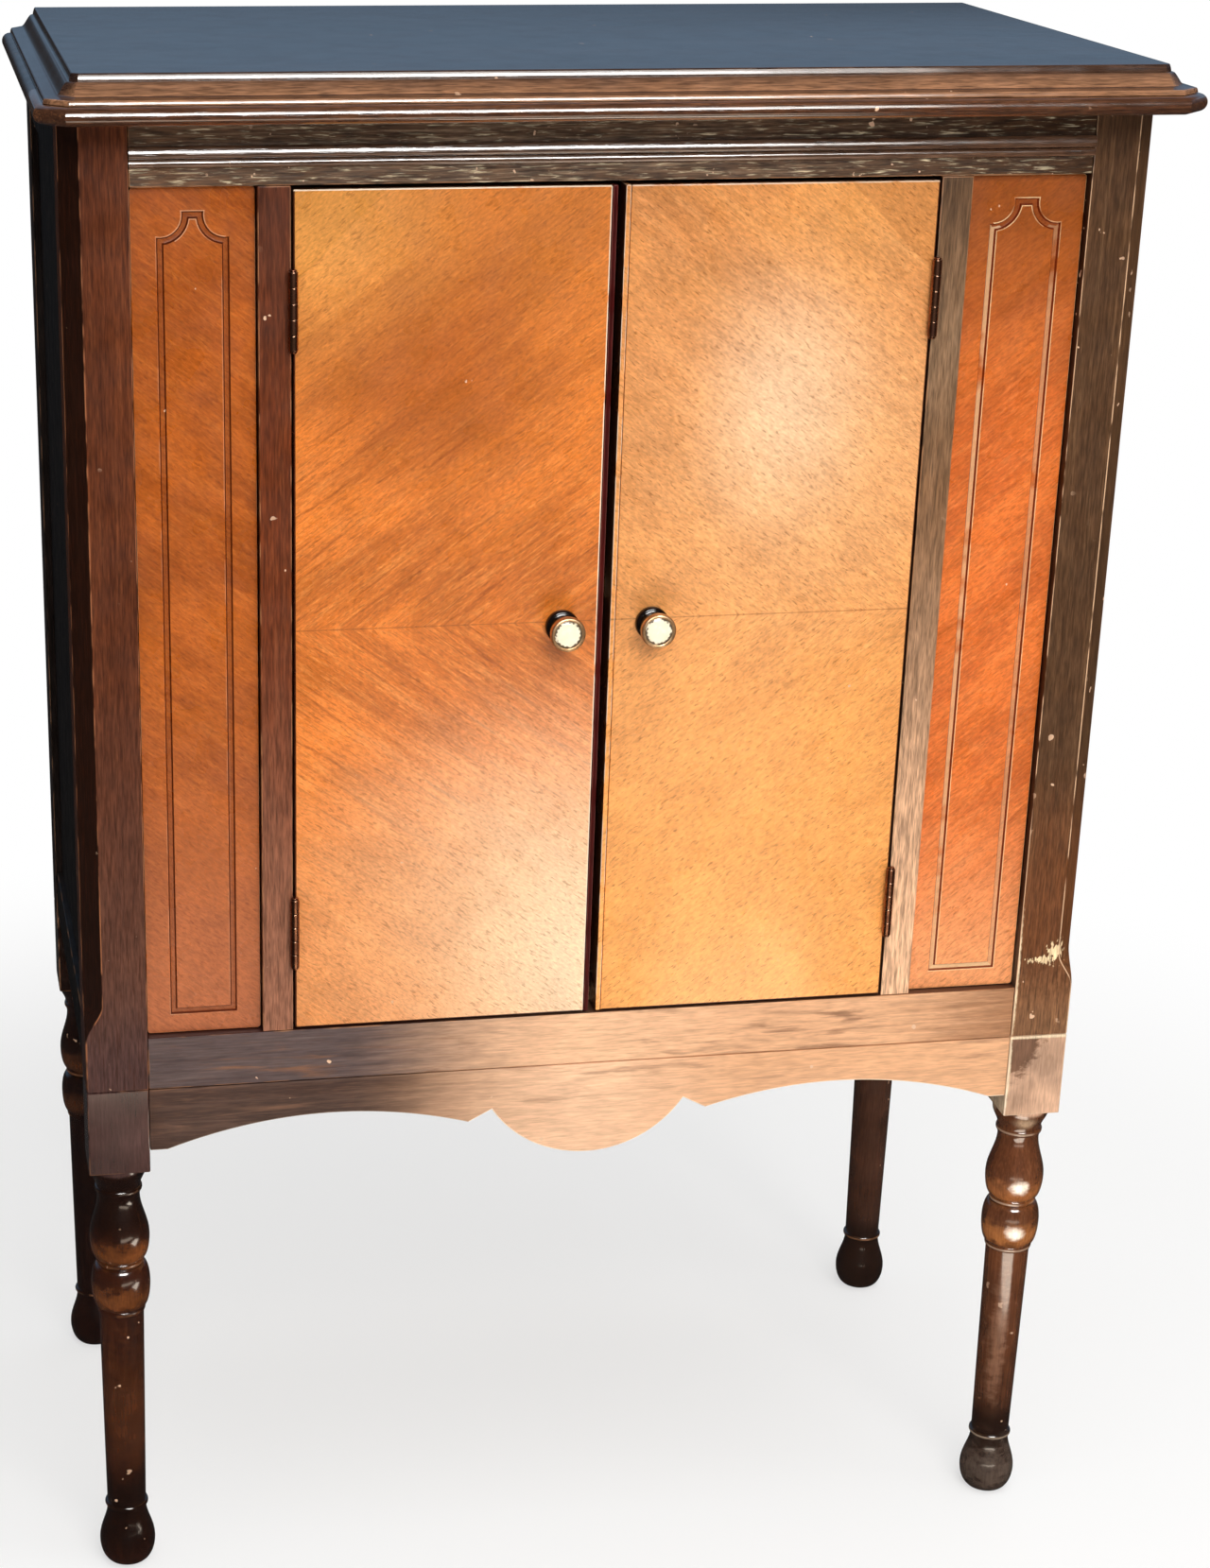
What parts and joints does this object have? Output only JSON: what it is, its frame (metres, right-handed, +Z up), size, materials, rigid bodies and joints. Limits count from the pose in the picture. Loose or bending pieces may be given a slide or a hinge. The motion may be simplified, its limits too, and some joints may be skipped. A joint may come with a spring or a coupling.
{
  "type": "two-door cabinet on turned legs",
  "caption": "Small tall wooden cabinet on long turned legs, with hinged veneered doors between narrow recessed panels, a moulded top and a scalloped apron; holds records, music or china.",
  "frame": {"origin": "on the floor, at the middle of the whole object's width and depth", "axes": "+Z up, +X to the right seen from the front, -Y towards the front, where the doors open"},
  "size_m": [0.7126, 0.404, 1.0345],
  "materials": {
    "dark_stained_wood": "dark brown stained wood under worn semi-gloss varnish",
    "top_wood": "dark brown stained wood under glossy varnish",
    "door_veneer": "orange-brown figured walnut veneer under glossy varnish",
    "panel_veneer": "red-brown walnut veneer under glossy varnish",
    "inner_wood": "bare pale wood",
    "aged_brass": "aged dark brass, rubbed bright on its edges",
    "knob_wood": "black stained wood under glossy varnish",
    "cream_inlay": "cream coloured, semi-gloss",
    "steel": "dull steel"
  },
  "bodies": {
    "carcase": {"front_left_post": "dark_stained_wood", "front_right_post": "dark_stained_wood", "back_left_post": "dark_stained_wood", "back_right_post": "dark_stained_wood", "front_left_leg": "dark_stained_wood", "front_right_leg": "dark_stained_wood", "back_left_leg": "dark_stained_wood", "back_right_leg": "dark_stained_wood", "top_board": "top_wood", "cornice_front": "dark_stained_wood", "cornice_left": "dark_stained_wood", "cornice_right": "dark_stained_wood", "front_top_rail": "dark_stained_wood", "front_rail_moulding": "dark_stained_wood", "front_bottom_rail": "dark_stained_wood", "front_apron": "dark_stained_wood", "left_inner_stile": "dark_stained_wood", "right_inner_stile": "dark_stained_wood", "left_front_panel": "panel_veneer", "right_front_panel": "panel_veneer", "left_side_panel": "dark_stained_wood", "right_side_panel": "dark_stained_wood", "left_side_top_rail": "dark_stained_wood", "right_side_top_rail": "dark_stained_wood", "left_side_bottom_rail": "dark_stained_wood", "right_side_bottom_rail": "dark_stained_wood", "back_panel": "inner_wood", "back_top_rail": "inner_wood", "back_bottom_rail": "inner_wood", "bottom_board": "inner_wood", "shelf": "inner_wood", "left_shelf_cleat": "inner_wood", "right_shelf_cleat": "inner_wood", "catch_clip": "aged_brass", "left_upper_hinge_frame_leaf": "aged_brass", "left_upper_hinge_pin": "aged_brass", "left_lower_hinge_frame_leaf": "aged_brass", "left_lower_hinge_pin": "aged_brass", "right_upper_hinge_frame_leaf": "aged_brass", "right_upper_hinge_pin": "aged_brass", "right_lower_hinge_frame_leaf": "aged_brass", "right_lower_hinge_pin": "aged_brass"},
    "left_door": {"left_door": "door_veneer", "left_door_lipping": "door_veneer", "left_knob": "knob_wood", "left_knob_rim": "aged_brass", "left_knob_disc": "cream_inlay", "left_knob_screw": "steel", "left_upper_hinge_door_leaf": "aged_brass", "left_lower_hinge_door_leaf": "aged_brass", "left_catch_tongue": "aged_brass"},
    "right_door": {"right_door": "door_veneer", "right_door_lipping": "door_veneer", "right_knob": "knob_wood", "right_knob_rim": "aged_brass", "right_knob_disc": "cream_inlay", "right_knob_screw": "steel", "right_upper_hinge_door_leaf": "aged_brass", "right_lower_hinge_door_leaf": "aged_brass", "right_catch_tongue": "aged_brass"}
  },
  "joints": [
    {"name": "left_door_hinge", "type": "hinge", "parent": "carcase", "child": "left_door", "pos_m": [-0.2023, -0.1553, 0.68915], "axis": [0, 0, -1], "range_deg": [0, 170]},
    {"name": "right_door_hinge", "type": "hinge", "parent": "carcase", "child": "right_door", "pos_m": [0.2023, -0.1553, 0.68915], "axis": [0, 0, 1], "range_deg": [0, 170]}
  ]
}
